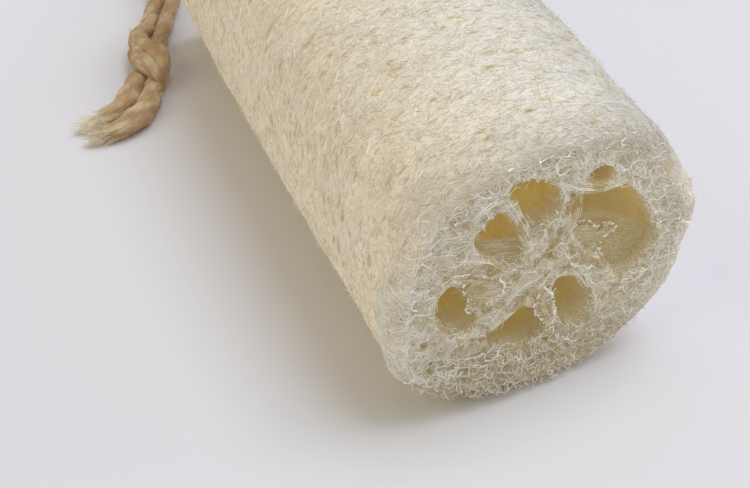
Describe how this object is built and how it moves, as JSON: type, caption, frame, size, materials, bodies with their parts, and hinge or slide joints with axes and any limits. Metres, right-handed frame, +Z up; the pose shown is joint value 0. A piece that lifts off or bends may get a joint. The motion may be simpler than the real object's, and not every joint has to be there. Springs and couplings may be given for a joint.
{
  "type": "natural loofah sponge",
  "caption": "Dried natural loofah sponge cut to a rough cylinder, netted with raised fibre, open seed chambers running from end to end, and a knotted cotton hanging cord through one end.",
  "frame": {"origin": "on the resting surface, under the middle of the loofah's own bounding box, cord left out", "axes": "+Z up; +Y along the loofah's length, from the cut end that shows in the picture to the end with the cord; +X to the right seen from that cut end"},
  "size_m": [0.1023, 0.186, 0.068],
  "materials": {
    "loofah_fibre": "matte",
    "cotton_cord": "matte"
  },
  "bodies": {
    "root": {"loofah": "loofah_fibre", "cord_loop": "cotton_cord", "cord_knot": "cotton_cord", "cord_tail_left": "cotton_cord", "cord_tail_right": "cotton_cord"}
  },
  "joints": []
}
